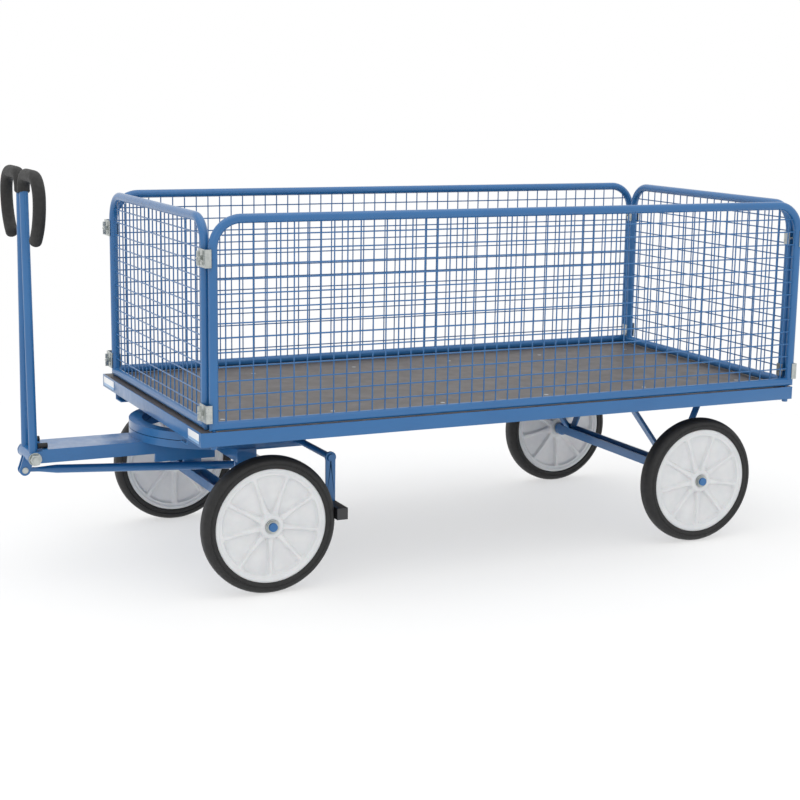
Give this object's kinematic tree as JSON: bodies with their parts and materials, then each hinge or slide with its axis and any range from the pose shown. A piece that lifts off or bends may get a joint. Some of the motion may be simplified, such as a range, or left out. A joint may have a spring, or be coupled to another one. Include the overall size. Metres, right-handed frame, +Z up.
{
  "type": "hand-pulled platform truck",
  "caption": "Hand-pulled platform truck with turntable steering, a brake tiller and removable wire-mesh walls around a board deck.",
  "frame": {"origin": "middle of the truck's box, on the floor", "axes": "+X forward to the tiller, +Y to the left, +Z up"},
  "size_m": [2.4142, 1.0066, 1.187],
  "materials": {
    "blue_paint": "powder-coated, satin gloss",
    "film_board": "film-faced plywood, fine anti-slip texture",
    "tyre": "solid rubber",
    "white_plastic": "moulded nylon",
    "steel": "bright steel",
    "zinc": "zinc-plated",
    "grip_rubber": "soft black rubber",
    "black_paint": "black paint",
    "label": "blank white label"
  },
  "bodies": {
    "platform": {"deck_board": "film_board", "deck_screws": "zinc", "end_rails": "blue_paint", "side_rails": "blue_paint", "sills": "blue_paint", "cross_members": "blue_paint", "king_cross_member": "blue_paint", "wall_sockets": "blue_paint", "blank_labels": "label", "rear_axle_beam": "blue_paint", "rear_axle_spindles": "blue_paint", "rear_axle_washers": "zinc", "rear_struts": "blue_paint", "upper_ring": "blue_paint"},
    "turntable": {"lower_ring": "blue_paint", "bearing_balls": "steel", "king_bolt": "zinc", "lower_bolster": "blue_paint", "drawbar_beam": "blue_paint", "rear_spine": "blue_paint", "pivot_bolt": "zinc", "tiller_stop": "grip_rubber", "brake_return_spring": "steel", "front_axle_beam": "blue_paint", "front_axle_spindles": "blue_paint", "front_axle_washers": "zinc"},
    "tiller": {"tiller_tubes": "blue_paint", "grip_left": "grip_rubber", "grip_right": "grip_rubber", "tiller_sleeve": "blue_paint", "brake_lever": "blue_paint", "lever_pin": "zinc"},
    "brake_link": {"brake_rod": "blue_paint"},
    "brake_frame": {"brake_bar": "black_paint", "brake_arms": "blue_paint", "brake_shaft": "blue_paint"},
    "wall_left": {"left_wall_frame": "blue_paint", "left_wall_mesh": "blue_paint"},
    "wall_right": {"right_wall_frame": "blue_paint", "right_wall_mesh": "blue_paint"},
    "wall_front": {"front_wall_frame": "blue_paint", "front_wall_mesh": "blue_paint", "front_clip_plates": "zinc", "front_wing_bolts": "zinc"},
    "wall_rear": {"rear_wall_frame": "blue_paint", "rear_wall_mesh": "blue_paint", "rear_clip_plates": "zinc", "rear_wing_bolts": "zinc"},
    "wheel_front_left": {"front_left_tyre": "tyre", "front_left_rim": "white_plastic", "front_left_hub_bush": "steel"},
    "wheel_front_right": {"front_right_tyre": "tyre", "front_right_rim": "white_plastic", "front_right_hub_bush": "steel"},
    "wheel_rear_left": {"rear_left_tyre": "tyre", "rear_left_rim": "white_plastic", "rear_left_hub_bush": "steel"},
    "wheel_rear_right": {"rear_right_tyre": "tyre", "rear_right_rim": "white_plastic", "rear_right_hub_bush": "steel"}
  },
  "joints": [
    {"name": "steer", "type": "hinge", "parent": "platform", "child": "turntable", "pos_m": [0.60015, 0, 0.4], "axis": [0, 0, 1], "range_deg": [-90, 90]},
    {"name": "spin_front_left", "type": "hinge", "parent": "turntable", "child": "wheel_front_left", "pos_m": [0.60015, 0.444, 0.2], "axis": [0, 1, 0], "continuous": true},
    {"name": "spin_front_right", "type": "hinge", "parent": "turntable", "child": "wheel_front_right", "pos_m": [0.60015, -0.444, 0.2], "axis": [0, 1, 0], "continuous": true},
    {"name": "spin_rear_left", "type": "hinge", "parent": "platform", "child": "wheel_rear_left", "pos_m": [-0.86085, 0.444, 0.2], "axis": [0, 1, 0], "continuous": true},
    {"name": "spin_rear_right", "type": "hinge", "parent": "platform", "child": "wheel_rear_right", "pos_m": [-0.86085, -0.444, 0.2], "axis": [0, 1, 0], "continuous": true},
    {"name": "tiller_pull", "type": "hinge", "parent": "turntable", "child": "tiller", "pos_m": [1.17415, 0, 0.357], "axis": [0, 1, 0], "range_deg": [0, 95], "stiffness_Nm_per_rad": 60, "springref_deg": -8.59},
    {"name": "rod_pivot", "type": "hinge", "parent": "tiller", "child": "brake_link", "pos_m": [1.19115, 0, 0.313], "axis": [0, 1, 0], "range_deg": [-96, 1]},
    {"name": "brake_swing", "type": "hinge", "parent": "turntable", "child": "brake_frame", "pos_m": [0.38315, 0, 0.363], "axis": [0, 1, 0], "range_deg": [-1, 39]},
    {"name": "lift_left_wall", "type": "slide", "parent": "platform", "child": "wall_left", "axis": [0, 0, 1], "range_m": [0, 0.65]},
    {"name": "lift_right_wall", "type": "slide", "parent": "platform", "child": "wall_right", "axis": [0, 0, 1], "range_m": [0, 0.65]},
    {"name": "lift_front_wall", "type": "slide", "parent": "platform", "child": "wall_front", "axis": [0, 0, 1], "range_m": [0, 0.65]},
    {"name": "lift_rear_wall", "type": "slide", "parent": "platform", "child": "wall_rear", "axis": [0, 0, 1], "range_m": [0, 0.65]}
  ],
  "couplings": [
    {"joint": "rod_pivot", "follows": "tiller_pull", "ratio": -1},
    {"joint": "brake_swing", "follows": "tiller_pull", "ratio": 0.4}
  ]
}
